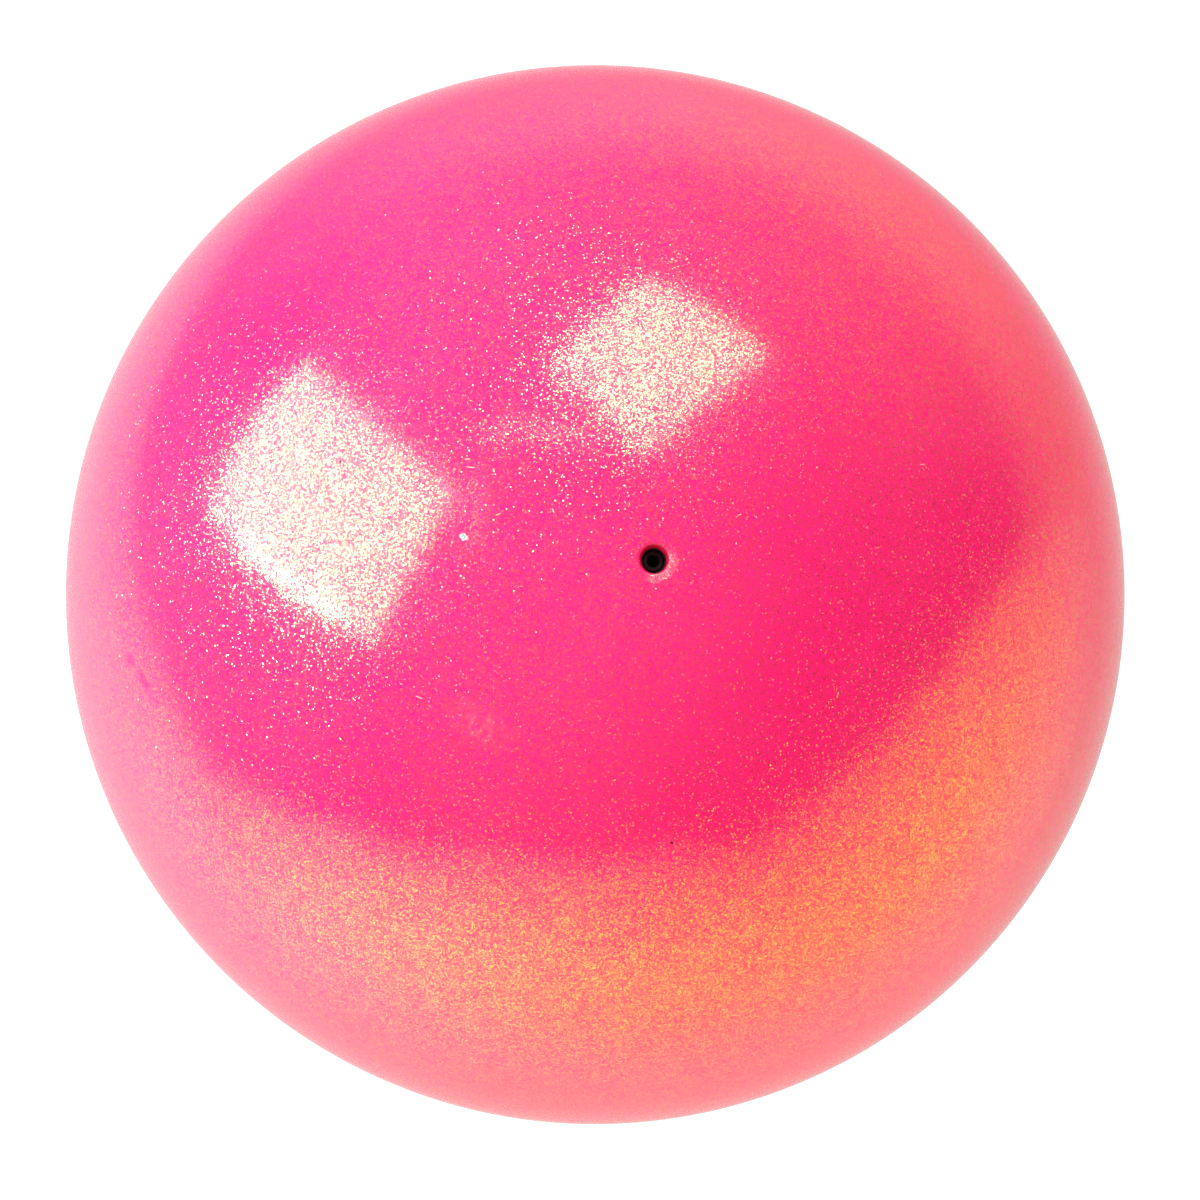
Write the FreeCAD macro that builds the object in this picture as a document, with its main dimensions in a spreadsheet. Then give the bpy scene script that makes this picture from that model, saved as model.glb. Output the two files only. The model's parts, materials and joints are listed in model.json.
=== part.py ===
import FreeCAD, Part
import math
import os
import Sketcher

V = FreeCAD.Vector

# Every size of the ball, in millimetres. Z is up through the needle port, and the
# origin is the centre of the ball.
SIZES = (
    ("ball_r", 90.0, "outside radius of the ball"),
    ("cover_t", 2.3, "thickness of the coloured cover"),
    ("liner_t", 1.3, "thickness of the airtight liner"),
    ("throat_r", 2.0, "radius of the port's throat"),
    ("lip_r", 0.45, "rounding of the port's mouth"),
    ("neck_r", 4.75, "radius of the housing's neck and of the hole in the liner"),
    ("flange_r", 14.0, "radius of the flange bonded to the liner"),
    ("flange_edge_t", 0.4, "thickness of the flange at its feathered edge"),
    ("flange_root_t", 1.7, "depth of the flange's underside at the neck"),
    ("neck_root_r", 1.5, "rounding between the flange and the neck"),
    ("neck_end_c", 0.6, "chamfer at the inner end of the neck"),
    ("bore_r", 1.8, "radius of the housing's bore"),
    ("housing_end_z", 73.6, "height of the housing's inner end"),
    ("ledge_z", 75.6, "height of the ledge that the insert rests on"),
    ("ledge_r", 1.43, "radius of the opening through the ledge"),
    ("insert_top_z", 87.2, "height of the insert's outer face"),
    ("insert_r", 1.72, "radius of the insert's head and sealing ribs"),
    ("insert_c", 0.2, "chamfer around the insert's outer face"),
    ("core_r", 1.47, "radius of the insert between its sealing ribs"),
    ("groove_h", 1.6, "height of each groove between the ribs"),
    ("groove_low_z", 77.2, "height of the lowest groove's lower side"),
    ("groove_step", 2.4, "distance from one groove to the next"),
    ("nose_r", 1.35, "radius of the insert's nose"),
    ("tip_z", 69.6, "height of the end of the lips"),
    ("guide_r", 1.0, "radius of the guide that the needle enters"),
    ("guide_end_z", 83.2, "height of the guide's inner end"),
    ("guide_cone_h", 0.7, "height of the cone under the guide"),
    ("channel_r", 0.45, "radius of the needle channel"),
    ("channel_end_z", 74.2, "height of the channel's closed end"),
    ("lip_top_z", 74.6, "height at which the lips' flats begin"),
    ("lip_tip_t", 0.4, "half thickness of the lips at their end"),
    ("slit_w", 0.9, "half width of the slit between the lips"),
    ("slit_t", 0.12, "gap of the slit between the lips"),
)
SIZE = {name: value for name, value, _ in SIZES}
GROOVES = 3

doc = FreeCAD.newDocument("RhythmicBall")
sheet = doc.addObject("Spreadsheet::Sheet", "Sizes")
for row, (name, value, meaning) in enumerate(SIZES, start=1):
    sheet.set(f"A{row}", meaning)
    sheet.set(f"B{row}", str(value))
    sheet.setAlias(f"B{row}", name)
doc.recompute()


def cells(rule):
    """A rule on size names, such as ball_r - cover_t, as a FreeCAD expression."""
    return " ".join(f"Sizes.{w}" if w in SIZE else w for w in rule.split())


def number(rule):
    """The value of a rule that adds and subtracts sizes."""
    total, sign = 0.0, 1.0
    for word in rule.split():
        if word in "+-":
            sign = -1.0 if word == "-" else 1.0
        else:
            total += sign * (SIZE[word] if word in SIZE else float(word))
    return total


def new_body(label):
    body = doc.addObject("PartDesign::Body", label)
    body.Label = label
    return body


def new_sketch(body, role, name):
    sketch = body.newObject("Sketcher::SketchObject", name)
    plane = next(f for f in body.Origin.OriginFeatures if f.Role == role)
    sketch.AttachmentSupport = [(plane, "")]
    sketch.MapMode = "FlatFace"
    doc.recompute()
    return sketch


def rule_constraint(sketch, kind, *where, rule):
    """Add a dimension to a sketch and bind it to a rule on the sizes."""
    index = sketch.addConstraint(Sketcher.Constraint(kind, *where, number(rule)))
    sketch.setExpression(f"Constraints[{index}]", cells(rule))


class Profile:
    """A closed outline drawn from point to point, with a rule for every size."""

    def __init__(self, sketch):
        self.sketch = sketch
        self.parts = []
        self.turned = []

    def line(self, start, end):
        self.parts.append(
            self.sketch.addGeometry(Part.LineSegment(V(*start, 0), V(*end, 0)), False)
        )
        self.turned.append(False)
        return self.parts[-1]

    def arc(self, rule, start, end):
        """An arc around the ball's centre. FreeCAD keeps arcs anticlockwise."""
        a, b = (math.atan2(y, x) for x, y in (start, end))
        circle = Part.Circle(V(0, 0, 0), V(0, 0, 1), number(rule))
        part = Part.ArcOfCircle(circle, min(a, b), max(a, b))
        index = self.sketch.addGeometry(part, False)
        join = Sketcher.Constraint("Coincident", index, 3, -1, 1)
        self.sketch.addConstraint(join)
        rule_constraint(self.sketch, "Radius", index, rule=rule)
        self.parts.append(index)
        self.turned.append(a > b)
        return index

    def start(self, n):
        return self.parts[n], 2 if self.turned[n] else 1

    def end(self, n):
        return self.parts[n], 1 if self.turned[n] else 2

    def close(self):
        count = len(self.parts)
        for n in range(count):
            follower = self.start((n + 1) % count)
            join = Sketcher.Constraint("Coincident", *self.end(n), *follower)
            self.sketch.addConstraint(join)

    def out(self, n, rule):
        """Place the start of part n at this distance from the vertical axis."""
        where = (-1, 1, *self.start(n))
        rule_constraint(self.sketch, "DistanceX", *where, rule=rule)

    def up(self, n, rule):
        """Place the start of part n at this height."""
        where = (-1, 1, *self.start(n))
        rule_constraint(self.sketch, "DistanceY", *where, rule=rule)

    def on_axis(self, n):
        where = (*self.start(n), -2)
        self.sketch.addConstraint(Sketcher.Constraint("PointOnObject", *where))

    def straight(self, n, kind):
        self.sketch.addConstraint(Sketcher.Constraint(kind, self.parts[n]))


def on_ball(x, radius):
    """The upper point of a sphere around the origin at distance x from its axis."""
    return x, math.sqrt(radius * radius - x * x)


def revolve(body, sketch, name, kind="PartDesign::Revolution"):
    feature = body.newObject(kind, name)
    feature.Profile = sketch
    feature.ReferenceAxis = (sketch, ["V_Axis"])
    feature.Angle = 360.0
    sketch.Visibility = False
    body.Tip = feature
    doc.recompute()
    return feature


def ring_edges(feature, radius, height, tol=0.01):
    """Names of the circular edges with this radius at this height."""
    names = []
    for n, edge in enumerate(feature.Shape.Edges, start=1):
        if edge.Degenerated or not isinstance(edge.Curve, Part.Circle):
            continue
        off = abs(edge.Curve.Radius - radius), abs(edge.Curve.Center.z - height)
        if max(off) < tol:
            names.append(f"Edge{n}")
    return names


def dress(body, base, kind, name, edges, prop, rule):
    """Round or chamfer edges of a feature by a rule on the sizes."""
    feature = body.newObject(kind, name)
    feature.Base = (base, edges)
    setattr(feature, prop, number(rule))
    feature.setExpression(prop, cells(rule))
    body.Tip = feature
    doc.recompute()
    return feature


def hollow_ball(label, outer, inner, hole):
    """A spherical wall with one round hole at the top."""
    body = new_body(label)
    profile = Profile(new_sketch(body, "XZ_Plane", f"{label}_wall"))
    r_out, r_in, r_hole = (number(rule) for rule in (outer, inner, hole))
    profile.arc(outer, (0, -r_out), on_ball(r_hole, r_out))
    profile.line(on_ball(r_hole, r_out), on_ball(r_hole, r_in))
    profile.arc(inner, on_ball(r_hole, r_in), (0, -r_in))
    profile.line((0, -r_in), (0, -r_out))
    profile.close()
    profile.straight(1, "Vertical")
    profile.out(1, hole)
    profile.on_axis(3)
    profile.on_axis(0)
    return body, revolve(body, profile.sketch, f"{label}_turned")


def valve_housing():
    """The boss inside the ball: a feathered flange, a neck, a bore and a ledge."""
    body = new_body("valve_housing")
    profile = Profile(new_sketch(body, "XZ_Plane", "valve_housing_section"))
    cover_in = number("ball_r - cover_t")
    liner_in = number("ball_r - cover_t - liner_t")
    bore, neck, rim = (SIZE[k] for k in ("bore_r", "neck_r", "flange_r"))
    edge = on_ball(rim, liner_in)
    under_edge = (rim, edge[1] - SIZE["flange_edge_t"])
    root = (neck, liner_in - SIZE["flange_root_t"])
    points = [
        root,
        (neck, SIZE["housing_end_z"]),
        (SIZE["ledge_r"], SIZE["housing_end_z"]),
        (SIZE["ledge_r"], SIZE["ledge_z"]),
        (bore, SIZE["ledge_z"]),
        on_ball(bore, cover_in),
    ]
    profile.arc("ball_r - cover_t", on_ball(bore, cover_in), on_ball(neck, cover_in))
    profile.line(on_ball(neck, cover_in), on_ball(neck, liner_in))
    profile.arc("ball_r - cover_t - liner_t", on_ball(neck, liner_in), edge)
    profile.line(edge, under_edge)
    profile.line(under_edge, root)
    for start, end in zip(points, points[1:]):
        profile.line(start, end)
    profile.close()
    for n in (1, 3, 5, 7, 9):
        profile.straight(n, "Vertical")
    for n in (6, 8):
        profile.straight(n, "Horizontal")
    profile.out(1, "neck_r")
    profile.out(3, "flange_r")
    where = (*profile.end(3), *profile.start(3))
    rule_constraint(profile.sketch, "DistanceY", *where, rule="flange_edge_t")
    profile.out(5, "neck_r")
    profile.up(5, "ball_r - cover_t - liner_t - flange_root_t")
    profile.up(6, "housing_end_z")
    profile.out(7, "ledge_r")
    profile.up(8, "ledge_z")
    profile.out(9, "bore_r")
    turned = revolve(body, profile.sketch, "valve_housing_turned")
    edges = ring_edges(turned, neck, root[1])
    rounded = dress(
        body, turned, "PartDesign::Fillet", "neck_root", edges, "Radius", "neck_root_r"
    )
    edges = ring_edges(rounded, neck, SIZE["housing_end_z"])
    dress(
        body, rounded, "PartDesign::Chamfer", "neck_end", edges, "Size", "neck_end_c"
    )
    return body


def pocket(body, sketch, name, width=None):
    """Cut a sketch out of a body to both sides of it."""
    feature = body.newObject("PartDesign::Pocket", name)
    feature.Profile = sketch
    if width is None:
        feature.Type = "ThroughAll"
    else:
        feature.Length = number(width)
        feature.setExpression("Length", cells(width))
    feature.Midplane = True
    sketch.Visibility = False
    body.Tip = feature
    doc.recompute()
    return feature


def valve_insert():
    """The plug the needle passes through: guide, channel, ribs and duckbill lips."""
    body = new_body("valve_insert")
    profile = Profile(new_sketch(body, "XZ_Plane", "valve_insert_section"))
    corners = [
        ("guide_r", "insert_top_z"),
        ("insert_r - insert_c", "insert_top_z"),
        ("insert_r", "insert_top_z - insert_c"),
        ("insert_r", "ledge_z"),
        ("nose_r", "ledge_z"),
        ("nose_r", "tip_z"),
        (None, "tip_z"),
        (None, "channel_end_z"),
        ("channel_r", "channel_end_z"),
        ("channel_r", "guide_end_z - guide_cone_h"),
        ("guide_r", "guide_end_z"),
    ]
    points = [(number(x) if x else 0.0, number(z)) for x, z in corners]
    for start, end in zip(points, points[1:] + points[:1]):
        profile.line(start, end)
    profile.close()
    for n, (x, z) in enumerate(corners):
        if x:
            profile.out(n, x)
        else:
            profile.on_axis(n)
        profile.up(n, z)
    revolve(body, profile.sketch, "valve_insert_turned")

    # the groove between two sealing ribs, repeated down the barrel
    groove = Profile(new_sketch(body, "XZ_Plane", "rib_groove_section"))
    outside = "insert_r + insert_c"
    corners = [
        ("core_r", "groove_low_z"),
        (outside, "groove_low_z"),
        (outside, "groove_low_z + groove_h"),
        ("core_r", "groove_low_z + groove_h"),
    ]
    points = [(number(x), number(z)) for x, z in corners]
    for start, end in zip(points, points[1:] + points[:1]):
        groove.line(start, end)
    groove.close()
    for n, (x, z) in enumerate(corners):
        groove.out(n, x)
        groove.up(n, z)
    cut = revolve(body, groove.sketch, "rib_groove", "PartDesign::Groove")
    rows = body.newObject("PartDesign::LinearPattern", "rib_grooves")
    rows.Originals = [cut]
    rows.Direction = (groove.sketch, ["V_Axis"])
    rows.Occurrences = GROOVES
    rows.Length = (GROOVES - 1) * SIZE["groove_step"]
    rows.setExpression("Length", f"{GROOVES - 1} * Sizes.groove_step")
    body.Tip = rows
    doc.recompute()

    # the two flats that thin the nose down to the lips
    flats = new_sketch(body, "YZ_Plane", "lip_flats_section")
    for side in (1, -1):
        outline = Profile(flats)
        wide = number("nose_r + insert_c")
        thin, top, tip = (SIZE[k] for k in ("lip_tip_t", "lip_top_z", "tip_z"))
        outline.line((side * wide, top), (side * wide, tip))
        outline.line((side * wide, tip), (side * thin, tip))
        outline.line((side * thin, tip), (side * wide, top))
        outline.close()
        for n, x in ((0, "nose_r + insert_c"), (1, None), (2, "lip_tip_t")):
            if x is None:
                outline.straight(0, "Vertical")
                outline.up(n, "tip_z")
                outline.straight(1, "Horizontal")
                continue
            point = outline.start(n)
            where = (-1, 1, *point) if side > 0 else (*point, -1, 1)
            rule_constraint(flats, "DistanceX", *where, rule=x)
        outline.up(0, "lip_top_z")
    pocket(body, flats, "lip_flats")

    # the slit that the needle opens and the air closes
    slit = Profile(new_sketch(body, "XZ_Plane", "slit_section"))
    half = SIZE["slit_w"]
    top, tip = number("channel_end_z + insert_c"), number("tip_z - insert_c")
    points = [(half, tip), (half, top), (-half, top), (-half, tip)]
    for start, end in zip(points, points[1:] + points[:1]):
        slit.line(start, end)
    slit.close()
    for n in (0, 2):
        slit.straight(n, "Vertical")
    for n in (1, 3):
        slit.straight(n, "Horizontal")
    slit.out(1, "slit_w")
    slit.up(1, "channel_end_z + insert_c")
    slit.up(0, "tip_z - insert_c")
    where = (*slit.start(2), -1, 1)
    rule_constraint(slit.sketch, "DistanceX", *where, rule="slit_w")
    pocket(body, slit.sketch, "slit", "slit_t")
    return body


cover, cover_turned = hollow_ball(
    "glitter_cover", "ball_r", "ball_r - cover_t", "throat_r"
)
mouth = ring_edges(
    cover_turned, SIZE["throat_r"], on_ball(SIZE["throat_r"], SIZE["ball_r"])[1]
)
dress(cover, cover_turned, "PartDesign::Fillet", "port_lip", mouth, "Radius", "lip_r")
liner, _ = hollow_ball(
    "airtight_liner", "ball_r - cover_t", "ball_r - cover_t - liner_t", "neck_r"
)
housing = valve_housing()
insert = valve_insert()
doc.recompute()

for item in doc.Objects:
    if "Invalid" in item.State or "Error" in item.State:
        raise RuntimeError(f"{item.Label} did not compute: {item.State}")

os.makedirs("parts", exist_ok=True)
for body in (cover, liner, housing, insert):
    shape = body.Shape
    if shape.isNull() or not shape.isValid() or len(shape.Solids) != 1:
        raise RuntimeError(f"{body.Label} is not one valid solid")
    shape.exportStep(f"parts/{body.Label}.step")
    box = shape.BoundBox
    print(
        f"{body.Label}: {shape.Volume:.1f} mm3,"
        f" z {box.ZMin:.2f} to {box.ZMax:.2f}, x {box.XMin:.2f} to {box.XMax:.2f}"
    )
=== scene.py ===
import json
import math
from types import SimpleNamespace

import bpy
from mathutils import Matrix, Vector, noise


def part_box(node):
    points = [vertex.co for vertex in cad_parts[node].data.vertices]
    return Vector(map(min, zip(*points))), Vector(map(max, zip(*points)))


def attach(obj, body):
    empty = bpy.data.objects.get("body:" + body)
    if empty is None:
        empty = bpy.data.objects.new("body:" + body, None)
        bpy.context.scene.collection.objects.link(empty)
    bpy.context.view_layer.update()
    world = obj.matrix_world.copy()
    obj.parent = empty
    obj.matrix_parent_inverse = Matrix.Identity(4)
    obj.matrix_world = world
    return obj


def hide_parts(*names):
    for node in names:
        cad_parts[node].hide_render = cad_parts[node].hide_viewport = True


# A hollow rubber gymnastics ball with a hot pink glitter finish and a needle valve.
# Everything is in metres in the row's frame: the ball's centre at the origin, +Z out of the needle port.

MM = 0.001
WHITE = (1, 1, 1, 1)


# ---------------------------------------------------------------- frame

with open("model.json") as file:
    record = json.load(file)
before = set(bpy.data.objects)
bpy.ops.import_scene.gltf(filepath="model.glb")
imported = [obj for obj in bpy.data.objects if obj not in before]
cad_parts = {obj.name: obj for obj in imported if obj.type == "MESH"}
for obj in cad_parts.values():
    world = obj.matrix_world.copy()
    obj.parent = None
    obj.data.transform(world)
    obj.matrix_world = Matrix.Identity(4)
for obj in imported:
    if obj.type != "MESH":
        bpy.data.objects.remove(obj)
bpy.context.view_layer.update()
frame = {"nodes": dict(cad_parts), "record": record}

cover_low, cover_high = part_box("glitter_cover")
liner_low, liner_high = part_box("airtight_liner")
mounts = {mount["name"]: mount for mount in frame["record"]["mounts"]}

BALL_R = (cover_high.x - cover_low.x) / 2
INNER_R = (liner_high.x - liner_low.x) / 2
THROAT_R = mounts["needle_port"]["dims"]["r_mm"] * MM
FLOOR_Z = cover_low.z


# ---------------------------------------------------------------- node trees

class Tree:
    """A node tree, with short calls that take plain values or other nodes' outputs."""

    def __init__(self, tree):
        self.nodes = tree.nodes
        self.links = tree.links

    def put(self, socket, value):
        if isinstance(value, bpy.types.NodeSocket):
            self.links.new(value, socket)
        else:
            socket.default_value = value

    def node(self, kind, inputs=None, **settings):
        made = self.nodes.new("ShaderNode" + kind)
        for name, value in settings.items():
            setattr(made, name, value)
        for name, value in (inputs or {}).items():
            self.put(made.inputs[name], value)
        return made

    def math(self, operation, a, b=0.0):
        return self.node("Math", {0: a, 1: b}, operation=operation).outputs[0]

    def product(self, result, *factors):
        for factor in factors:
            result = self.math("MULTIPLY", result, factor)
        return result

    def total(self, result, *terms):
        for term in terms:
            result = self.math("ADD", result, term)
        return result

    def most(self, result, *masks):
        for mask in masks:
            result = self.math("MAXIMUM", result, mask)
        return result

    def least(self, result, *values):
        for value in values:
            result = self.math("MINIMUM", result, value)
        return result

    def vector(self, operation, a, b=(0, 0, 0)):
        return self.node("VectorMath", {0: a, 1: b}, operation=operation).outputs["Vector"]

    def scaled(self, vector, scale):
        made = self.node("VectorMath", {"Vector": vector, "Scale": scale}, operation="SCALE")
        return made.outputs["Vector"]

    def centred(self, colour, scale):
        """A colour from 0 to 1 as a vector that points any way, up to half of scale along each axis."""
        return self.scaled(self.vector("SUBTRACT", colour, (0.5, 0.5, 0.5)), scale)

    def dot(self, a, b):
        return self.node("VectorMath", {0: a, 1: b}, operation="DOT_PRODUCT").outputs["Value"]

    def length(self, vector):
        return self.node("VectorMath", {0: vector}, operation="LENGTH").outputs["Value"]

    def parts(self, vector):
        return self.node("SeparateXYZ", {0: vector}).outputs

    def ramp(self, value, low, high, to_low=0.0, to_high=1.0):
        """value from low to high, eased to a number from to_low to to_high."""
        places = {"Value": value, "From Min": low, "From Max": high, "To Min": to_low, "To Max": to_high}
        return self.node("MapRange", places, interpolation_type="SMOOTHSTEP").outputs["Result"]

    def between(self, factor, a, b):
        """Number a where factor is 0 and number b where it is 1."""
        return self.node("Mix", {0: factor, 2: a, 3: b}, data_type="FLOAT").outputs[0]

    def blend(self, factor, a, b):
        """Colour a where factor is 0 and colour b where it is 1."""
        made = self.node("Mix", data_type="RGBA")
        self.put(made.inputs[0], factor)
        self.put(made.inputs[6], a)
        self.put(made.inputs[7], b)
        return made.outputs[2]

    def stain(self, paint, mask, strength, colour):
        """The paint with that strength of another colour over it where the mask is 1."""
        return self.blend(self.product(mask, strength), paint, colour)

    def noise(self, vector, size, detail=2.0, roughness=0.5, output="Fac"):
        """Soft noise from 0 to 1 whose blotches are about size across."""
        places = {"Vector": vector, "Scale": 1 / size, "Detail": detail, "Roughness": roughness}
        return self.node("TexNoise", places).outputs[output]


def new_material(name, **constants):
    """A material with one Principled shader whose unchanging values are set on its own sockets."""
    material = bpy.data.materials.new(name)
    material.use_nodes = True
    tree = Tree(material.node_tree)
    surface = tree.nodes["Principled BSDF"]
    for socket, value in constants.items():
        surface.inputs[socket.replace("_", " ")].default_value = value
    return material, tree, surface


# ---------------------------------------------------------------- glitter rubber

# Flakes fill a share of the cells of this size. The share swings up and down by this much between clumps.
FLAKE_SIZE = 0.18 * MM
FLAKE_SHARE, SHARE_SWING = 0.60, 0.09
CLUMP_SIZE, CLUMP_NOISE = 3.5 * MM, (0.3, 0.7)

# A flake leans by up to half of its tilt along each axis. A few stray ones get up to the stray tilt more,
# and the higher the power, the fewer they are.
FLAKE_TILT = 0.050
STRAY_TILT, STRAY_POWER = 0.80, 5

# Specular level and roughness of the rubber between flakes, of the least and most shiny flakes, and of
# dull marks. The higher the power, the fewer flakes are very shiny.
GAP_SHINE, FLAKE_SHINE, DULL_SHINE = 0.075, (0.14, 1.9), 0.04
GAP_ROUGHNESS, FLAKE_ROUGHNESS, DULL_ROUGHNESS = 0.15, (0.05, 0.13), 0.6
SHINE_POWER = 1.8

GOLD_TINT = (1.0, 0.80, 0.33, 1)
BASE_PINK = (0.97, 0.0125, 0.205, 1)
ROSE_FLAKE = (1.0, 0.0165, 0.100, 1)
PEARL_FLAKE = (1.0, 0.0165, 0.205, 1)
CLOUD_PINK = (1.0, 0.024, 0.200, 1)
CLOUD_SIZE, CLOUD_NOISE, CLOUD_STRENGTH = 18 * MM, (0.40, 0.70), 0.30

# Strength and colour of the darker and paler flakes, and the random numbers past which a flake is one.
DARK_FLAKE, DARK_ABOVE = (0.5, (0.35, 0.010, 0.06, 1)), 0.970
PALE_FLAKE, PALE_BELOW = (0.5, (1.0, 0.42, 0.35, 1)), 0.009


def glitter_cells(tree, place):
    """The cells that flakes lie in: three random numbers for each, a fourth one, and a random direction."""
    cells = tree.node("TexVoronoi", {"Vector": place, "Scale": 1 / FLAKE_SIZE})
    draws = tree.node("SeparateColor", {"Color": cells.outputs["Color"]}).outputs
    more = tree.node("TexWhiteNoise", {"Vector": cells.outputs["Color"]}, noise_dimensions="3D")
    return draws, more.outputs["Value"], more.outputs["Color"]


def glitter_paint(tree, place, draws, is_flake):
    """Even pigment with soft clouds, and a few darker and paler flakes."""
    paint = tree.blend(is_flake, BASE_PINK, tree.blend(draws[2], ROSE_FLAKE, PEARL_FLAKE))
    cloud = tree.ramp(tree.noise(place, CLOUD_SIZE, detail=3), *CLOUD_NOISE, 0, CLOUD_STRENGTH)
    paint = tree.blend(cloud, paint, CLOUD_PINK)
    paint = tree.stain(paint, tree.math("GREATER_THAN", draws[2], DARK_ABOVE), *DARK_FLAKE)
    return tree.stain(paint, tree.math("LESS_THAN", draws[2], PALE_BELOW), *PALE_FLAKE)


# Each pair says where a mask round the port is 0 and where it is 1: a distance from the port's axis, or
# where the name has DEPTH in it, a depth below the ball's surface.
PORT_ZONE = (4.2 * MM, 3.9 * MM)
LIP_DEPTH = (0.03 * MM, 0.12 * MM)
MOUTH_DEPTH = (0.16 * MM, 0.50 * MM)
SCUFF_ZONE = (3.9 * MM, 3.0 * MM)
GRIT_ZONE = (3.3 * MM, 2.8 * MM)
RUBBED_ZONE, RUBBED_DEPTH = (3.15 * MM, 2.85 * MM), (0.50 * MM, 0.20 * MM)

# The scuffs lie on one side of the port and the grey rub marks on another, each fading in over a range.
WORN_SIDE, WORN_SIDE_RANGE = (0.74, -0.67, 0), (0.10, 0.60)
TOP_SIDE, TOP_SIDE_RANGE = (0.35, 0.94, 0), (0.30, 0.9)

# Blotches make those edges ragged by up to half of the raggedness either way, and break up the grit and the
# rub marks. Flecks and grit are cells whose random number lies past these.
BLOTCH_SIZE, RAGGEDNESS = 0.5 * MM, 2.4 * MM
GRIT_BLOTCHES, RUBBED_BLOTCHES = (0.54, 0.62), (0.47, 0.56)
FLECK_ABOVE, GRIT_BELOW = 0.84, 0.10

# Streaks fan out of the port, because their noise changes faster round its axis than away from it.
FAN_ROUND, FAN_AWAY, STREAK_SIZE, STREAK_NOISE = 7, 0.6 / MM, 0.8, (0.56, 0.64)

# Strength and colour of each kind of wear, and the plain rubber inside the mouth, which lets light in. That
# rubber is painted darker than the pink outside, as painted shade in the recess.
SCUFF = (0.30, (0.95, 0.20, 0.30, 1))
STREAK = (0.5, (0.92, 0.42, 0.46, 1))
FLECK = (0.60, (0.85, 0.58, 0.52, 1))
GRIT = (0.9, (0.12, 0.13, 0.08, 1))
GREY_RUB = (0.75, (0.17, 0.10, 0.08, 1))
CRIMSON_RUBBER_AND_PAINTED_SHADE, MOUTH_SUBSURFACE = (0.50, 0.004, 0.042, 1), 0.35


def port_zones(tree, place):
    """Masks round the needle port."""
    flat = tree.vector("MULTIPLY", place, (1, 1, 0))
    from_axis = tree.length(flat)
    outward = tree.vector("NORMALIZE", flat)
    above = tree.math("GREATER_THAN", tree.parts(place)["Z"], 0)
    near = tree.product(tree.ramp(from_axis, *PORT_ZONE), above)
    depth = tree.math("SUBTRACT", BALL_R, tree.length(place))
    in_mouth = tree.product(tree.ramp(depth, *MOUTH_DEPTH), near)
    outside = tree.math("SUBTRACT", 1, in_mouth)

    blotches = tree.noise(place, BLOTCH_SIZE, detail=3, roughness=0.65)
    ragged = tree.total(from_axis, tree.product(tree.math("SUBTRACT", blotches, 0.5), RAGGEDNESS))
    worn_side = tree.ramp(tree.dot(outward, WORN_SIDE), *WORN_SIDE_RANGE)
    top_side = tree.ramp(tree.dot(outward, TOP_SIDE), *TOP_SIDE_RANGE)
    scuffed = tree.product(tree.ramp(ragged, *SCUFF_ZONE), worn_side, near, outside)
    lip = tree.product(tree.ramp(ragged, *RUBBED_ZONE), tree.ramp(depth, *RUBBED_DEPTH), near)
    fan = tree.vector("ADD", tree.scaled(outward, FAN_ROUND), tree.scaled(flat, FAN_AWAY))
    streaks = tree.ramp(tree.noise(fan, STREAK_SIZE, detail=3, roughness=0.6), *STREAK_NOISE)
    return SimpleNamespace(
        outside=outside,
        in_mouth=in_mouth,
        on_lip=tree.product(tree.ramp(depth, *LIP_DEPTH), near),
        blotches=blotches,
        scuffed=scuffed,
        streaks=tree.product(streaks, scuffed),
        gritty=tree.product(tree.ramp(ragged, *GRIT_ZONE), tree.ramp(blotches, *GRIT_BLOTCHES)),
        rubbed=tree.product(tree.ramp(blotches, *RUBBED_BLOTCHES), lip, top_side),
    )


def wear_at_port(tree, paint, draws, port):
    """The paint with the port's wear and plain rubber, darkened as painted shade, in its mouth, and a mask
    of what is dull there.
    """
    flecks = tree.product(tree.math("GREATER_THAN", draws[2], FLECK_ABOVE), port.scuffed)
    grit = tree.most(tree.math("LESS_THAN", draws[2], GRIT_BELOW), port.gritty)
    grit = tree.product(grit, port.scuffed)
    paint = tree.stain(paint, port.scuffed, *SCUFF)
    paint = tree.stain(paint, port.streaks, *STREAK)
    paint = tree.stain(paint, flecks, *FLECK)
    paint = tree.stain(paint, grit, *GRIT)
    # The mouth's wall gets plain rubber colour, darkened as painted shade of the recess.
    paint = tree.blend(port.in_mouth, paint, CRIMSON_RUBBER_AND_PAINTED_SHADE)
    paint = tree.stain(paint, port.rubbed, *GREY_RUB)
    return paint, tree.most(port.on_lip, port.rubbed, port.streaks, flecks, grit)


# Each mark's azimuth and elevation in degrees, half length, half width, and turn of its length in degrees.
CHIP = (172.4, 70.5, 0.72 * MM, 0.50 * MM, 56)
DARK_SPECKS = ((161.0, 55.2, 0.32 * MM, 0.20 * MM, 60), (-85.2, 60.4, 0.26 * MM, 0.20 * MM, 0))
PALE_RUB = (-136.6, 65.5, 4.5 * MM, 2.6 * MM, 10)
WORN_SPOTS = ((-170.9, 24.8, 1.6 * MM, 1.1 * MM, 60), (-168.0, 26.9, 2.4 * MM, 0.9 * MM, 35))
HAIRLINES = (
    (152.2, 68.9, 0.75 * MM, 0.10 * MM, -72),
    (150.5, 68.2, 0.50 * MM, 0.09 * MM, -60),
    (112.0, 78.4, 0.70 * MM, 0.10 * MM, -20),
    (163.0, 73.5, 0.45 * MM, 0.09 * MM, -55),
    (-150.0, 62.0, 0.60 * MM, 0.09 * MM, 40),
    (20.0, 58.0, 0.55 * MM, 0.09 * MM, 80),
    (-35.0, 66.0, 0.50 * MM, 0.08 * MM, 15),
)

# The share of its size over which a mark fades, and how many half lengths deep it reaches.
MARK_EDGE, WORN_EDGE, RUB_EDGE = 0.15, 0.5, 0.75
MARK_DEPTH = 6

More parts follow.
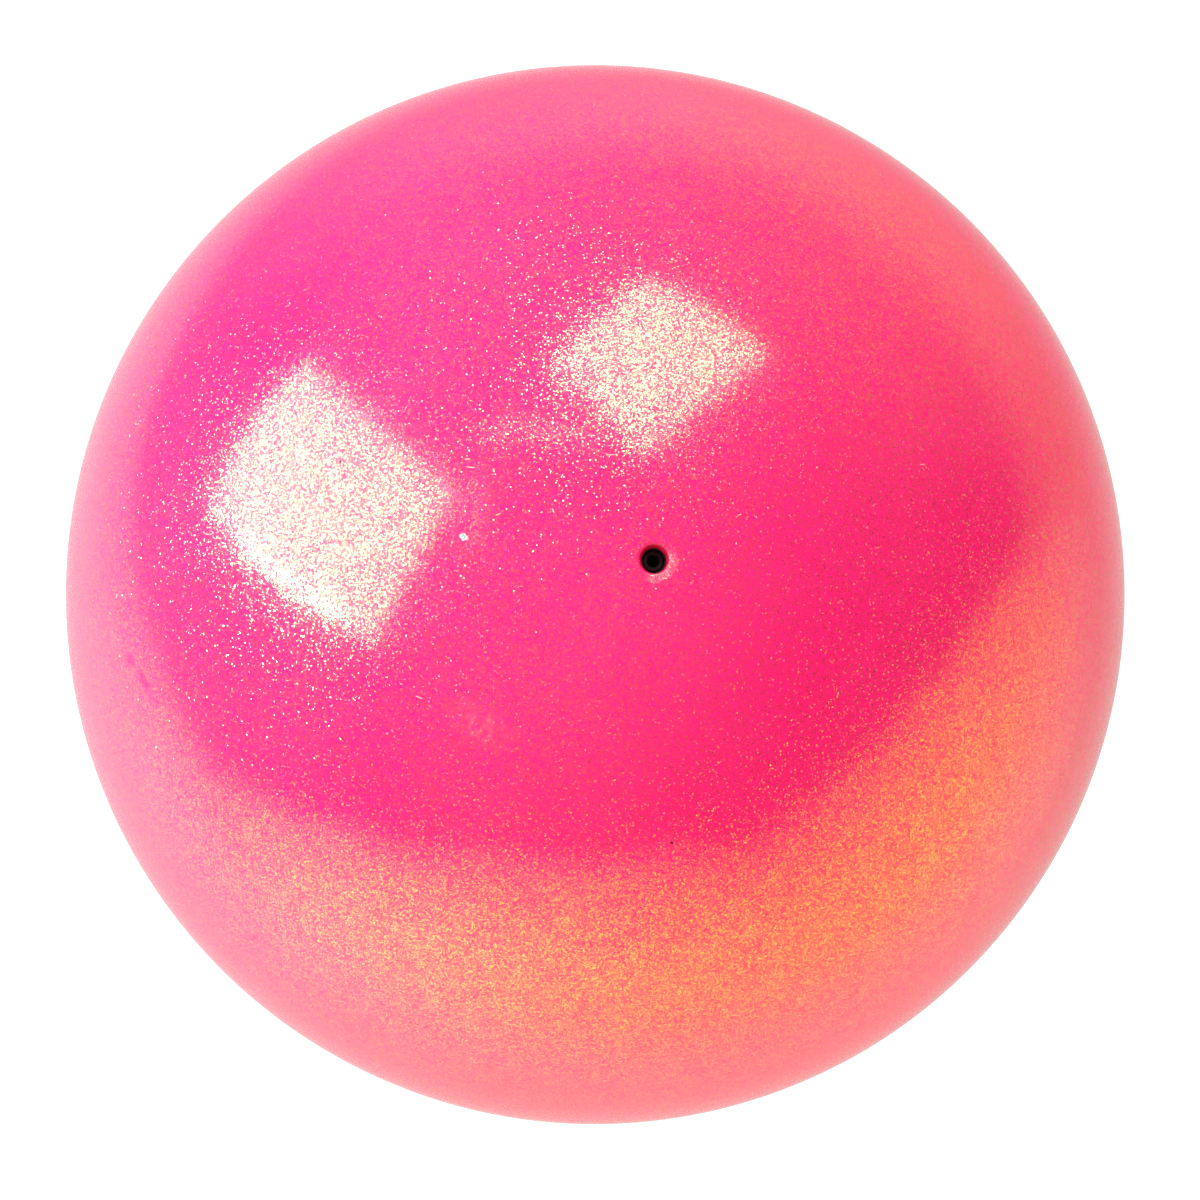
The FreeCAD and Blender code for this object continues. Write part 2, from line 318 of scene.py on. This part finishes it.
# Noise that makes the chip's outline, the rub and the worn spots uneven.
CHIP_WOBBLE_SIZE, CHIP_WOBBLE = 0.45 * MM, 0.8 * MM
RUB_NOISE_SIZE, RUB_NOISE = 1.2 * MM, (0.3, 0.8)
WORN_BLOTCHES, WORN_STRENGTH = (0.28, 0.50), 0.9

# Strength and colour of the rub and the hairlines, and the colours of the chip and the specks.
RUB_STAIN = (0.16, (1.0, 0.40, 0.36, 1))
HAIRLINE_STAIN = (0.7, (1.0, 0.62, 0.45, 1))
CHIP_PALE, CHIP_GREY, CHIP_MIX = (0.64, 0.72, 0.69, 1), (0.28, 0.36, 0.34, 1), (0.3, 0.7)
SPECK_BLACK = (0.05, 0.003, 0.006, 1)


def on_ball(azimuth, elevation):
    """The unit vector from the ball's centre at that azimuth and elevation, in degrees."""
    azimuth, elevation = math.radians(azimuth), math.radians(elevation)
    flat = math.cos(elevation)
    return Vector((flat * math.cos(azimuth), flat * math.sin(azimuth), math.sin(elevation)))


def mark(tree, place, azimuth, elevation, half_length, half_width, turn, edge=MARK_EDGE):
    """1 inside a small oval on the ball and 0 outside it, fading over a share of its size at its edge."""
    centre = on_ball(azimuth, elevation)
    east = Vector((0, 0, 1)).cross(centre).normalized()
    along = Matrix.Rotation(math.radians(turn), 3, centre) @ east
    across = centre.cross(along)
    offset = tree.vector("SUBTRACT", place, centre * BALL_R)
    u = tree.product(tree.dot(offset, along), 1 / half_length)
    v = tree.product(tree.dot(offset, across), 1 / half_width)
    w = tree.product(tree.dot(offset, centre), 1 / (MARK_DEPTH * half_length))
    from_centre = tree.length(tree.node("CombineXYZ", {0: u, 1: v, 2: w}).outputs[0])
    return tree.ramp(from_centre, 1 + edge, 1 - edge)


def any_mark(tree, place, marks, edge=MARK_EDGE):
    return tree.most(*[mark(tree, place, *shape, edge=edge) for shape in marks])


def small_marks(tree, paint, place, draws, blotches):
    """The paint with the small marks that a used ball has, and a mask of what is dull there."""
    wobble = tree.centred(tree.noise(place, CHIP_WOBBLE_SIZE, output="Color"), CHIP_WOBBLE)
    chip = mark(tree, tree.vector("ADD", place, wobble), *CHIP)
    specks = any_mark(tree, place, DARK_SPECKS)
    rub = mark(tree, place, *PALE_RUB, edge=RUB_EDGE)
    rub = tree.product(rub, tree.ramp(tree.noise(place, RUB_NOISE_SIZE, detail=3), *RUB_NOISE))
    worn = any_mark(tree, place, WORN_SPOTS, edge=WORN_EDGE)
    worn = tree.product(worn, tree.ramp(blotches, *WORN_BLOTCHES))
    paint = tree.stain(paint, rub, *RUB_STAIN)
    paint = tree.stain(paint, any_mark(tree, place, HAIRLINES), *HAIRLINE_STAIN)
    paint = tree.blend(chip, paint, tree.blend(tree.ramp(draws[2], *CHIP_MIX), CHIP_PALE, CHIP_GREY))
    paint = tree.blend(specks, paint, SPECK_BLACK)
    return paint, tree.most(chip, specks, tree.product(worn, WORN_STRENGTH))


def glitter_material():
    """Pink rubber full of nearly flat flakes under thin lacquer, with a few stray ones that stand out."""
    material, tree, surface = new_material(
        "hot_pink_glitter",
        IOR=2.2,
        Specular_Tint=GOLD_TINT,
        Coat_Weight=0.12,
        Coat_Roughness=0.07,
        Subsurface_Radius=(1.0, 0.12, 0.25),
        Subsurface_Scale=1.2 * MM,
    )
    place = tree.node("TexCoord").outputs["Object"]
    draws, fourth_draw, direction = glitter_cells(tree, place)
    port = port_zones(tree, place)
    clumps = tree.noise(place, CLUMP_SIZE, detail=3, roughness=0.6)
    share = tree.ramp(clumps, *CLUMP_NOISE, FLAKE_SHARE - SHARE_SWING, FLAKE_SHARE + SHARE_SWING)
    is_flake = tree.product(tree.math("LESS_THAN", draws[0], share), port.outside)

    tilt = tree.total(tree.product(tree.math("POWER", draws[1], STRAY_POWER), STRAY_TILT), FLAKE_TILT)
    upright = tree.node("NewGeometry").outputs["Normal"]
    leaning = tree.vector("ADD", upright, tree.centred(direction, tilt))
    tree.put(surface.inputs["Normal"], tree.vector("NORMALIZE", leaning))

    paint = glitter_paint(tree, place, draws, is_flake)
    paint, dull_port = wear_at_port(tree, paint, draws, port)
    paint, dull_marks = small_marks(tree, paint, place, draws, port.blotches)
    tree.put(surface.inputs["Base Color"], paint)
    tree.put(surface.inputs["Subsurface Weight"], tree.product(port.in_mouth, MOUTH_SUBSURFACE))

    dull = tree.most(dull_port, dull_marks)
    roughness = tree.between(is_flake, GAP_ROUGHNESS, tree.ramp(draws[2], 0, 1, *FLAKE_ROUGHNESS))
    tree.put(surface.inputs["Roughness"], tree.between(dull, roughness, DULL_ROUGHNESS))
    flake_shine = tree.between(tree.math("POWER", fourth_draw, SHINE_POWER), *FLAKE_SHINE)
    shine = tree.between(is_flake, GAP_SHINE, flake_shine)
    tree.put(surface.inputs["Specular IOR Level"], tree.between(dull, shine, DULL_SHINE))
    return material


# ---------------------------------------------------------------- skin of the ball

# How many points each ring has, and how many rings there are inside the wall, in the throat and on the lip.
SEGMENTS = 288
INNER_RINGS, THROAT_RINGS, LIP_RINGS = 48, 3, 14

# Steps between the rings outside: the first, at the port, the factor by which they grow, and the longest.
FIRST_STEP, STEP_GROWTH, LONGEST_STEP = 0.12 * MM, 1.12, 1.4 * MM

# The mouth flares from the throat by this much over this height. It sits a little off the throat's axis,
# and the skin round it follows that shift less and less over the reach.
LIP_WIDTH, LIP_HEIGHT = 0.85 * MM, 1.6 * MM
MOUTH_SHIFT = Vector((-0.14 * MM, 0.23 * MM, 0))
SHIFT_REACH = 12 * MM

# The outside is waved by this much over this length. A point counts as outside within the slack.
WAVE_HEIGHT, WAVE_LENGTH = 0.05 * MM, 35 * MM
OUTSIDE_SLACK = 0.001 * MM


def skin_profile():
    """Rings from the inner pole to the outer one, as radius, height and share of the mouth's shift."""
    rings = []

    # inside of the wall, from the far pole up to the throat
    throat_angle = math.asin(THROAT_R / INNER_R)
    for step in range(1, INNER_RINGS + 1):
        angle = math.pi + (throat_angle - math.pi) * step / INNER_RINGS
        rings.append((INNER_R * math.sin(angle), INNER_R * math.cos(angle), 0))

    # straight throat, then the lip, which is a quarter of an ellipse
    mouth_r = THROAT_R + LIP_WIDTH
    lip_base = math.sqrt(BALL_R**2 - mouth_r**2) - LIP_HEIGHT
    throat_base = rings[-1][1]
    for step in range(1, THROAT_RINGS + 1):
        rings.append((THROAT_R, throat_base + (lip_base - throat_base) * step / THROAT_RINGS, 0))
    for step in range(1, LIP_RINGS + 1):
        angle = math.pi / 2 * step / LIP_RINGS
        radius = mouth_r - LIP_WIDTH * math.cos(angle)
        rings.append((radius, lip_base + LIP_HEIGHT * math.sin(angle), math.sin(angle) ** 2))

    # outside of the wall, in steps that grow away from the port
    angle = math.asin(mouth_r / BALL_R)
    arc = FIRST_STEP / BALL_R
    while angle + arc < math.pi:
        angle += arc
        share = max(0, 1 - BALL_R * angle / SHIFT_REACH)
        rings.append((BALL_R * math.sin(angle), BALL_R * math.cos(angle), share))
        arc = min(arc * STEP_GROWTH, LONGEST_STEP / BALL_R)
    return rings


def skin_point(radius, height, share, turn):
    """A point of a ring, moved with the mouth, and on the outside waved very slightly."""
    point = Vector((radius * math.cos(turn), radius * math.sin(turn), height))
    outside = point.length > BALL_R - OUTSIDE_SLACK
    point += MOUTH_SHIFT * share
    if outside:
        wave = WAVE_HEIGHT * (noise.noise(point / WAVE_LENGTH) - 1) * min(1, radius / SHIFT_REACH)
        point *= (BALL_R + wave) / point.length
    return point


def build_skin():
    """The closed cover: rings joined by quads, and a fan of triangles at each pole."""
    rings = skin_profile()
    turns = [2 * math.pi * k / SEGMENTS for k in range(SEGMENTS)]
    vertices = [skin_point(*ring, turn) for ring in rings for turn in turns]
    vertices += [Vector((0, 0, -INNER_R)), Vector((0, 0, -BALL_R))]
    sides = [(k, (k + 1) % SEGMENTS) for k in range(SEGMENTS)]
    faces = []
    for ring in range(len(rings) - 1):
        low, high = ring * SEGMENTS, (ring + 1) * SEGMENTS
        faces += [(low + k, low + after, high + after, high + k) for k, after in sides]
    inner_pole = len(rings) * SEGMENTS
    outer_pole = inner_pole + 1
    last = inner_pole - SEGMENTS
    for k, after in sides:
        faces.append((inner_pole, after, k))
        faces.append((outer_pole, last + k, last + after))
    mesh = bpy.data.meshes.new("ball_skin")
    mesh.from_pydata(vertices, [], faces)
    mesh.validate()
    mesh.shade_smooth()
    skin = bpy.data.objects.new("ball_skin", mesh)
    bpy.context.scene.collection.objects.link(skin)
    return skin


skin = build_skin()
skin.data.materials.append(glitter_material())
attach(skin, "ball")
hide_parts("glitter_cover")


# ---------------------------------------------------------------- plain rubber of the other pieces

# node: dark and light shade, size of the grain, roughness, specular level
RUBBERS = {
    "airtight_liner": ((0.040, 0.034, 0.032, 1), (0.075, 0.064, 0.060, 1), 0.5 * MM, 0.62, 0.2),
    "valve_housing": ((0.009, 0.005, 0.0055, 1), (0.020, 0.013, 0.014, 1), 0.25 * MM, 0.62, 0.2),
    "valve_insert": ((0.021, 0.0085, 0.0095, 1), (0.036, 0.019, 0.021, 1), 0.15 * MM, 0.58, 0.06),
}

# Blotches are this many grains across. Each ramp says where noise starts and ends, and what it gives there.
BLOTCH_GRAINS, BLOTCH_RAMP = 12, (0.3, 0.7)
PORE_RAMP = (0.62, 0.8, 0, 0.5)
GLOSS_RAMP = (0.2, 0.8, -0.1, 0.15)
BUMP_STRENGTH, BUMP_GRAINS = 0.35, 1 / 6


def rubber_material(name, dark, light, grain, roughness, shine):
    """Moulded rubber: two close shades in soft blotches, fine pores and an uneven gloss."""
    material, tree, surface = new_material(name, IOR=1.5, Specular_IOR_Level=shine)
    place = tree.node("TexCoord").outputs["Object"]
    blotches = tree.noise(place, BLOTCH_GRAINS * grain, detail=3)
    pores = tree.noise(place, grain, detail=4, roughness=0.65)
    shade = tree.blend(tree.ramp(blotches, *BLOTCH_RAMP), dark, light)
    shade = tree.blend(tree.ramp(pores, *PORE_RAMP), shade, light)
    tree.put(surface.inputs["Base Color"], shade)
    tree.put(surface.inputs["Roughness"], tree.total(tree.ramp(pores, *GLOSS_RAMP), roughness))
    bump_inputs = {"Height": pores, "Strength": BUMP_STRENGTH, "Distance": BUMP_GRAINS * grain}
    tree.put(surface.inputs["Normal"], tree.node("Bump", bump_inputs).outputs["Normal"])
    return material


for node, look in RUBBERS.items():
    materials = frame["nodes"][node].data.materials
    materials.clear()
    materials.append(rubber_material(node + "_rubber", *look))


# ---------------------------------------------------------------- camera

# The port's axis points this far right and up in the picture, as shares of a unit vector.
PORT_RIGHT, PORT_UP = 0.1056, 0.0597
CAMERA_DISTANCE = 1.2
FRAME_HALF_TANGENT = 0.08513
BALL_LEFT_OF_CENTRE, BALL_ABOVE_CENTRE = 0.82 * MM, 0.92 * MM

up = Vector((0, math.sqrt(1 - PORT_UP**2), PORT_UP))
right_y = -PORT_RIGHT * PORT_UP / up.y
right = Vector((math.sqrt(1 - PORT_RIGHT**2 - right_y**2), right_y, PORT_RIGHT))
back = right.cross(up)

camera_data = bpy.data.cameras.new("camera")
camera_data.lens = camera_data.sensor_width / 2 / FRAME_HALF_TANGENT
camera = bpy.data.objects.new("camera", camera_data)
place = back * CAMERA_DISTANCE + right * BALL_LEFT_OF_CENTRE - up * BALL_ABOVE_CENTRE
camera.matrix_world = Matrix.Translation(place) @ Matrix((right, up, back)).transposed().to_4x4()
bpy.context.scene.collection.objects.link(camera)
bpy.context.scene.camera = camera
bpy.context.scene.view_settings.view_transform = "Standard"


# ---------------------------------------------------------------- lights and floor

LEFT_WIDTH, LEFT_FACING = (0.431, -0.492, 0.756), (0.830, -0.114, -0.547)
RIGHT_WIDTH, RIGHT_FACING = (-0.601, 0.798, -0.050), (-0.443, -0.385, -0.810)

# name: centre, direction of its width, direction it faces, width, height, radiance
SOFTBOXES = {
    "softbox_left": ((-0.880, 0.290, 0.356), LEFT_WIDTH, LEFT_FACING, 0.965, 0.600, 8.0),
    "softbox_edge": ((-0.944, 0.030, 0.298), LEFT_WIDTH, LEFT_FACING, 0.550, 0.040, 22.0),
    "softbox_right": ((0.153, 1.033, 0.932), RIGHT_WIDTH, RIGHT_FACING, 0.760, 0.810, 7.0),
    "fill_right": ((0.900, 0.250, 0.650), (0, 1, 0), (-0.900, -0.250, -0.650), 0.600, 0.600, 1.9),
    "fill_low": ((-0.450, -0.750, 1.000), (1, 0, 0), (0.450, 0.750, -1.000), 1.000, 1.000, 1.9),
}


def add_softbox(name, centre, width_along, facing, width, height, radiance):
    """A rectangular light. Fills are kept out of reflections, and the bright edge is seen only in them."""
    data = bpy.data.lights.new(name, "AREA")
    data.shape = "RECTANGLE"
    data.size = width
    data.size_y = height
    data.energy = radiance * math.pi * width * height
    light = bpy.data.objects.new(name, data)
    away = -Vector(facing).normalized()
    across = Vector(width_along)
    across = (across - away * across.dot(away)).normalized()
    axes = Matrix((across, away.cross(across), away)).transposed().to_4x4()
    light.matrix_world = Matrix.Translation(centre) @ axes
    light.visible_camera = False
    light.visible_glossy = not name.startswith("fill")
    light.visible_diffuse = name != "softbox_edge"
    bpy.context.scene.collection.objects.link(light)


FLOOR_R, FLOOR_SEGMENTS = 0.6, 96
PAPER_SHADES, PAPER_GRAIN, PAPER_GLOW = ((0.50, 0.50, 0.50, 1), (0.56, 0.56, 0.56, 1)), 2 * MM, 0.78


def build_floor():
    """A round sheet of white paper under the ball."""
    turns = [2 * math.pi * k / FLOOR_SEGMENTS for k in range(FLOOR_SEGMENTS)]
    rim = [(FLOOR_R * math.cos(turn), FLOOR_R * math.sin(turn), FLOOR_Z) for turn in turns]
    mesh = bpy.data.meshes.new("floor")
    mesh.from_pydata(rim, [], [tuple(range(FLOOR_SEGMENTS))])
    floor = bpy.data.objects.new("floor", mesh)
    bpy.context.scene.collection.objects.link(floor)
    material, tree, surface = new_material(
        "white_paper", Roughness=0.9, Emission_Color=WHITE, Emission_Strength=PAPER_GLOW
    )
    grain = tree.noise(tree.node("TexCoord").outputs["Object"], PAPER_GRAIN)
    tree.put(surface.inputs["Base Color"], tree.blend(grain, *PAPER_SHADES))
    mesh.materials.append(material)
    floor.visible_glossy = False


# ---------------------------------------------------------------- what the ball reflects

# The room's dark part lies on the positive side of these planes, and a pale bounce board fills the rest.
# The line between them is soft over this range, and uneven by up to half of the unevenness either way.
BOARD_EDGES = (
    ((0.05, 0.40, 0.916), 0.495),
    ((-0.07, 0.81, 0.57), 0.455),
    ((-0.64, 0.67, 0.46), 0.665),
)
EDGE_RANGE, EDGE_UNEVENNESS, EDGE_NOISE_SIZE = (0.06, -0.06), 0.10, 0.22

# A lighting boom and its stand show as two faint lines. Each lies in a plane, given by its normal and
# offset, and has a half width, an axis along which it starts, is full, fades and ends, and a radiance.
BOOMS = (
    ((0.2175, 0.8582, -0.4648), 0.007, 0.020, "X", (-0.50, -0.42, -0.12, -0.03), 5.0),
    ((0.862, 0.048, 0.505), 0.0, 0.028, "Y", (0.10, 0.18, 0.34, 0.42), 2.0),
)

# Each ramp says where along a direction's x or z, or along a way of its own, it starts and ends, and the
# radiance or the factor that it gives there.
LOW_Z, LOW_X = (-0.05, -0.5), (-0.9, 0.4, 0.14, 0.44)
CEILING_WAY, CEILING = (-0.497, 0.199, 0.845), (0.15, 0.95, 0.04, 0.28)
BACK_WALL_WAY, BACK_WALL, BACK_WALL_Z = (0.22, 0.97, 0.10), (0.38, 0.85, 0, 0.38), (0.7, 0.1, 0.45, 1.0)
SIDE_WALL_X = (-0.78, -0.93, 0, 0.22)
BOARD_Z, BOARD_X, BOARD_TOP_Z = (0.0, -1.0, 2.25, 0.72), (-1.2, 0.5, 1.56, 0.84), (0.5, -0.1, 0.88, 1.0)
BOARD_EDGE = (0.0, -0.35, 0.60, 1.14)

# The board's colours from its left to its right, and where it turns to others low down and at the back.
BOARD_LEFT, BOARD_RIGHT, TINT_X = (1, 0.96, 0.52, 1), (1, 0.90, 0.20, 1), (-0.8, 0.3)
BOARD_LOW, TINT_Z = (1, 1, 0.96, 1), (-0.1, -0.7)
BOARD_BACK, TINT_Y = (1, 1, 0.94, 1), (-0.05, 0.35)
ROOM_RIGHT, ROOM_TINT_X = (1, 1, 0.5, 1), (0.0, 0.6)


def boom_lines(tree, direction):
    """Radiance of the two faint lines, which show only above the ball's middle."""
    parts = tree.parts(direction)
    above = tree.math("GREATER_THAN", parts["Z"], 0)
    lines = []
    for plane, offset, half_width, axis, (start, full, fading, end), radiance in BOOMS:
        off_plane = tree.math("ABSOLUTE", tree.math("SUBTRACT", tree.dot(direction, plane), offset))
        line = tree.ramp(off_plane, half_width, half_width / 2, 0, radiance)
        ends = tree.ramp(parts[axis], start, full), tree.ramp(parts[axis], end, fading)
        lines.append(tree.product(line, *ends, above))
    return tree.total(*lines)


def room_radiance(tree, direction):
    """A dark room that is brighter low down, at the ceiling, behind the ball's top and on its far left."""
    x, _, z = tree.parts(direction)
    lower = tree.product(tree.ramp(z, *LOW_Z), tree.ramp(x, *LOW_X))
    ceiling = tree.ramp(tree.dot(direction, CEILING_WAY), *CEILING)
    back_wall = tree.ramp(tree.dot(direction, BACK_WALL_WAY), *BACK_WALL)
    back_wall = tree.product(back_wall, tree.ramp(z, *BACK_WALL_Z))
    side_wall = tree.ramp(x, *SIDE_WALL_X)
    return tree.total(lower, ceiling, back_wall, side_wall, boom_lines(tree, direction))


def board_radiance(tree, direction, inside):
    """The bounce board is brightest high up on the left, and a little dimmer near its edge."""
    x, _, z = tree.parts(direction)
    ramps = tree.ramp(z, *BOARD_Z), tree.ramp(x, *BOARD_X), tree.ramp(z, *BOARD_TOP_Z)
    return tree.product(*ramps, tree.ramp(inside, *BOARD_EDGE))


def reflected_tint(tree, direction, on_board):
    """Warm light from the board's right, nearly white light from its lower and back parts and the room."""
    x, y, z = tree.parts(direction)
    board = tree.blend(tree.ramp(x, *TINT_X), BOARD_LEFT, BOARD_RIGHT)
    board = tree.blend(tree.ramp(z, *TINT_Z), board, BOARD_LOW)
    board = tree.blend(tree.ramp(y, *TINT_Y), board, BOARD_BACK)
    room = tree.blend(tree.ramp(x, *ROOM_TINT_X), WHITE, ROOM_RIGHT)
    return tree.blend(on_board, room, board)


def build_world():
    """White behind the object, and for the reflections a dark room with a wide pale bounce board."""
    world = bpy.data.worlds.new("studio")
    bpy.context.scene.world = world
    world.use_nodes = True
    tree = Tree(world.node_tree)
    tree.nodes.clear()
    direction = tree.node("TexCoord").outputs["Generated"]
    uneven = tree.math("SUBTRACT", tree.noise(direction, EDGE_NOISE_SIZE, detail=4), 0.5)
    edges = [tree.total(tree.dot(direction, normal), offset) for normal, offset in BOARD_EDGES]
    inside = tree.total(tree.least(*edges), tree.product(uneven, EDGE_UNEVENNESS))
    on_board = tree.ramp(inside, *EDGE_RANGE)

    room, board = room_radiance(tree, direction), board_radiance(tree, direction, inside)
    radiance = tree.between(on_board, room, board)
    tint = reflected_tint(tree, direction, on_board)
    seen = tree.node("LightPath").outputs["Is Camera Ray"]
    colour, strength = tree.blend(seen, tint, WHITE), tree.between(seen, radiance, 1.0)
    shader = tree.node("Background", {"Color": colour, "Strength": strength})
    tree.put(tree.node("OutputWorld").inputs["Surface"], shader.outputs["Background"])


for name, shape in SOFTBOXES.items():
    add_softbox(name, *shape)
build_floor()
build_world()
